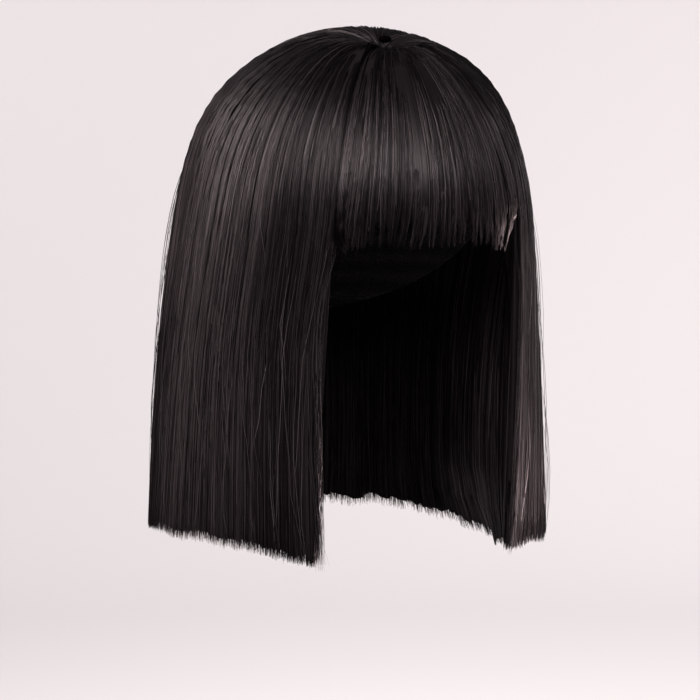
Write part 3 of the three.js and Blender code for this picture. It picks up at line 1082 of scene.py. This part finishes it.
OUTER_LOCKS = {
    "Strand Radius": 0.2 * MM,
    "Lock Depth": 0.7 * MM,
    "Stands Proud": 0.25 * MM,
    "Wander": 0.5 * MM,
    "Tip Gather": 0.5,
    "Ragged Cut": 2.5 * MM,
    "Pointed Lock": 1.5 * MM,
    "Bow": 0.0,
    "Darkness": 3.0,
    "Root Depth": 2.0 * MM,
    "Material": FIBRE,
}
LOCK_DROP = 1.2 * MM  # how far whole locks end above or below the cut
WHORL_SHARE = 0.25  # of the locks start at the whorl
FIRST_BELOW = 3  # the others start this many rows down or more, and as far above the end as this
ROWS_LEFT = 5
SPLAY_SPREAD = 0.12
PAST_EDGE = 0.5 * MM  # how far a splayed lock may reach past the edge of its section


def lock_share(generator, lock, locks):
    """A lock's place across a face: each has a stretch of its own and lies anywhere in it but the ends."""
    return (lock + generator.uniform(0.1, 0.9)) / locks


def comb_outer(name, section, locks, strands, seed, lock_drop=LOCK_DROP, splay=0.0, look=OUTER_LOCKS):
    """Combs the outer face of a section: some locks start at the whorl, the others further down."""
    generator = np.random.default_rng(seed)
    face = Face(section, 0)
    width = face.widths.max()
    guides = Guides()
    for lock in range(locks):
        share = lock_share(generator, lock, locks)
        first = 0
        if generator.random() > WHORL_SHARE:
            first = int(generator.uniform(FIRST_BELOW, min(section.crown_rows, face.rows - ROWS_LEFT)))
        half_width = width * generator.uniform(0.5, 1.0) / locks
        drop = lock_drop * generator.uniform(-1, 1)
        tilt = 2 * share - 1
        to_edge = (1 - abs(tilt)) / 2 * width + PAST_EDGE
        lean = math.copysign(min(splay * abs(tilt), to_edge), tilt)
        lean += splay * generator.uniform(-SPLAY_SPREAD, SPLAY_SPREAD)
        guides.add(face, share, face.guide_rows(first, 2, lock % 2), half_width, drop, lean)
    guides.comb(name, look, strands, seed)


INNER_LOCKS = {
    "Strand Radius": 0.3 * MM,
    "Lock Depth": 0.3 * MM,
    "Stands Proud": 0.6 * MM,
    "Wander": 0.8 * MM,
    "Tip Gather": 0.3,
    "Ragged Cut": 3 * MM,
    "Pointed Lock": 1.0 * MM,
    "Bow": 0.0,
    "Darkness": 3.0,
    "Root Depth": 1.5 * MM,
    "Material": FIBRE,
}
INNER_START = -75 * MM  # the cap hides what lies above
INNER_STRANDS = 8
CUT_LAYERS = 7  # rows of strand ends between the two faces at the cut
SEAM_STARTS = (0, 3, 7, 12)  # rows where the locks on a seam begin


def comb_inner(name, section, locks, cut_strands, seed):
    """Combs the inner face below the cap, and fills the thickness of the cut with strand ends."""
    generator = np.random.default_rng(seed)
    guides = Guides()
    inner = Face(section, 1)
    first = int(np.flatnonzero(inner.levels < INNER_START)[0])
    for lock in range(locks):
        share = lock_share(generator, lock, locks)
        start = first + int(generator.uniform(0, 3))
        guides.add(inner, share, inner.guide_rows(start, 1), inner.widths.max() * 0.9 / locks)
    for layer in range(CUT_LAYERS):
        face = Face(section, (layer + 0.6) / (CUT_LAYERS + 0.4))
        last = face.rows - 1
        for lock in range(cut_strands):
            share = lock_share(generator, lock, cut_strands)
            guides.add(face, share, [last - 2, last - 1, last], face.widths.max() * 0.8 / cut_strands)
    guides.comb(name, INNER_LOCKS, INNER_STRANDS, seed)


def comb_seams(name, seams, strands, seed):
    """Locks that lie across the lines where two sections meet."""
    generator = np.random.default_rng(seed)
    guides = Guides()
    for node, share, half_width in seams:
        face = Face(hair[node], 0)
        for first in SEAM_STARTS:
            nudged = share + generator.uniform(-0.4, 0.4) * half_width / face.widths.max()
            guides.add(face, nudged, face.guide_rows(first), half_width)
    guides.comb(name, OUTER_LOCKS, strands, seed)


WHORL_HOLE = 4.0 * MM  # radius of the dark middle
WHORL_ROOT = 2.5 * MM  # how far below the lip its strands start
WHORL_SWIRL = math.radians(30)
WHORL_SWIRL_REACH = 14 * MM
WHORL_ROWS = 7
WHORL_GUIDES = 70
WHORL_LOCKS = {
    **OUTER_LOCKS,
    "Root Depth": 0.0,
    "Tip Gather": 0.0,
    "Ragged Cut": 0.0,
    "Pointed Lock": 0.0,
    "Wander": 0.25 * MM,
    "Darkness": 7.0,
}
# Painted shade in the whorl: a near-black ball, its sides and levels, and its middle and size
SHADE_BALL_SIDES = 20
SHADE_BALL_LEVELS = 9
HOLLOW_SHADE_BALL = {"x": -0.4 * MM, "y": -31 * MM, "z": 4.9 * MM, "radius": 3.5 * MM, "half_height": 2.0 * MM}


def turned_about_whorl(point, angle):
    across = point[0] - WHORL.x
    ahead = point[1] - WHORL.y
    return np.array((
        WHORL.x + across * math.cos(angle) - ahead * math.sin(angle),
        WHORL.y + across * math.sin(angle) + ahead * math.cos(angle),
        point[2],
    ))


def comb_whorl(name, strands, seed):
    """Locks that rise out of the dark middle of the whorl, turn with it and lie down on the crown."""
    generator = np.random.default_rng(seed)
    guides = Guides()
    degrees = {key: section["to"] - section["from"] for key, section in SECTIONS.items()}
    for key, section in hair.items():
        face = Face(section, 0)
        count = round(WHORL_GUIDES * degrees[key] / sum(degrees.values()))
        for guide in range(count):
            column = int(lock_share(generator, guide, count) * (face.points.shape[0] - 1))
            lip = face.points[column, 0]
            away = np.array((lip[0] - WHORL.x, lip[1] - WHORL.y, 0))
            away = away / np.linalg.norm(away)
            root = np.array((WHORL.x, WHORL.y, lip[2] - WHORL_ROOT)) + away * WHORL_HOLE
            last = WHORL_ROWS + int(generator.integers(-3, 4))
            line = [root] + [face.points[column, row] for row in range(last)]
            normals = [away] + [face.normals[column, row] for row in range(last)]
            spun = []
            for point in line:
                far = math.hypot(point[0] - WHORL.x, point[1] - WHORL.y)
                spun.append(turned_about_whorl(point, WHORL_SWIRL * math.exp(-far / WHORL_SWIRL_REACH)))
            steps = np.gradient(np.array(spun), axis=0)
            across = [np.cross(step, normal) for step, normal in zip(steps, normals)]
            across = [side / max(np.linalg.norm(side), 1e-9) for side in across]
            halves = [max(0.4 * MM, 3.4 * MM * place / len(spun)) for place in range(len(spun))]
            guides.add_line(spun, across, normals, halves)
    guides.comb(name, WHORL_LOCKS, strands, seed)


def build_hollow_shade(name):
    """Painted shade: a flat, near-black ball below the lip, standing in for the unlit hollow of the whorl.
    """
    profile = []
    for level in range(1, SHADE_BALL_LEVELS):
        rise = math.pi * level / SHADE_BALL_LEVELS - math.pi / 2
        radius = HOLLOW_SHADE_BALL["radius"] * math.cos(rise)
        profile.append((radius, HOLLOW_SHADE_BALL["z"] + HOLLOW_SHADE_BALL["half_height"] * math.sin(rise)))
    vertices, faces = turned_shape(profile, SHADE_BALL_SIDES, HOLLOW_SHADE_BALL["x"], HOLLOW_SHADE_BALL["y"])
    rings = np.arange(len(vertices)).reshape(-1, SHADE_BALL_SIDES).tolist()
    piece = mesh_object(name, vertices, [rings[0][::-1], rings[-1], *faces])
    painted_shade = {"Base Color": (0.0004, 0.0003, 0.0003, 1), "Roughness": 1.0, "Specular IOR Level": 0.0}
    piece.data.materials.append(MaterialMaker("unlit_hollow").shaded(painted_shade))
    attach(piece, "root")


STRAY_LOCKS = {
    **OUTER_LOCKS,
    "Strand Radius": 0.13 * MM,
    "Lock Depth": 0.5 * MM,
    "Stands Proud": 0.6 * MM,
    "Wander": 1.3 * MM,
    "Tip Gather": 0.0,
    "Ragged Cut": 5 * MM,
    "Material": STRAY_FIBRE,
}
FLYAWAY_LOCKS = {**STRAY_LOCKS, "Bow": 3.2 * MM, "Root Depth": 0.8 * MM, "Ragged Cut": 0.0, "Darkness": 0.8}
HAIR_ROUND = 0.65  # about what the widths of the four sections come to
STRAYS_REACH = 5 * MM  # past a front edge
FLYAWAY_LEAN = 10 * MM


def comb_edge_strays(name, edges, guides_each, seed):
    """Thin hair that hangs loose past the front edges."""
    generator = np.random.default_rng(seed)
    guides = Guides()
    for section, edge, way in edges:
        face = Face(section, 0)
        for _ in range(guides_each):
            past = way * generator.uniform(0, 1) ** 1.5 * STRAYS_REACH / face.widths.max()
            first = section.crown_rows + int(generator.integers(-3, 2))
            lean = way * generator.uniform(-1, 2) * MM
            guides.add(face, edge + past, face.guide_rows(first, 1), 0.8 * MM, 0, lean)
    guides.comb(name, STRAY_LOCKS, 3, seed)


def comb_flyaways(name, count, seed):
    """Single strands that stand off the sides and the back in shallow bows."""
    generator = np.random.default_rng(seed)
    guides = Guides()
    for key in ("side_hair_right", "side_hair_left", "back_hair"):
        face = Face(hair[key], 0)
        for _ in range(round(count * (face.widths.max() / HAIR_ROUND))):
            first = int(generator.integers(face.crown_rows - 6, face.rows - 4))
            last = min(face.rows - 1, first + int(generator.integers(4, 10)))
            lean = generator.uniform(-FLYAWAY_LEAN, FLYAWAY_LEAN)
            guides.add(face, generator.random(), list(range(first, last + 1)), 0.5 * MM, 0, lean)
    guides.comb(name, FLYAWAY_LOCKS, 1, seed)


FRINGE_LOCKS = {**OUTER_LOCKS, "Tip Gather": 0.7, "Ragged Cut": 3 * MM, "Pointed Lock": 4 * MM}
# Seams: a section, the share of its width where one lies, and half the width of a lock on it
SEAMS = [
    ("fringe", 0, 5 * MM),
    ("fringe", 1, 5 * MM),
    ("side_hair_right", 0, 5 * MM),
    ("side_hair_left", 1, 5 * MM),
    ("side_hair_right", 0.975, 3 * MM),
    ("side_hair_left", 0.025, 3 * MM),
]
# Front edges: a section, the share of its width at the edge, and the way past it
FRONT_EDGES = [(hair["side_hair_right"], 1, 1), (hair["side_hair_left"], 0, -1)]

fringe_fall = {"lock_drop": 1.5 * MM, "splay": 9 * MM}
comb_outer("fringe_strands", hair["fringe"], locks=44, strands=48, seed=21, **fringe_fall, look=FRINGE_LOCKS)
comb_seams("seam_strands", SEAMS, strands=24, seed=25)
comb_outer("right_strands", hair["side_hair_right"], locks=190, strands=14, seed=22)
comb_outer("left_strands", hair["side_hair_left"], locks=160, strands=12, seed=23)
comb_outer("back_strands", hair["back_hair"], locks=190, strands=10, seed=24)
comb_whorl("whorl_strands", strands=8, seed=26)
build_hollow_shade("whorl_hollow_shade")
comb_edge_strays("edge_strays", FRONT_EDGES, guides_each=16, seed=27)
comb_flyaways("flyaway_strands", count=290, seed=28)
comb_inner("right_inner_strands", hair["side_hair_right"], locks=46, cut_strands=24, seed=31)
comb_inner("left_inner_strands", hair["side_hair_left"], locks=60, cut_strands=26, seed=32)
comb_inner("back_inner_strands", hair["back_hair"], locks=110, cut_strands=46, seed=33)
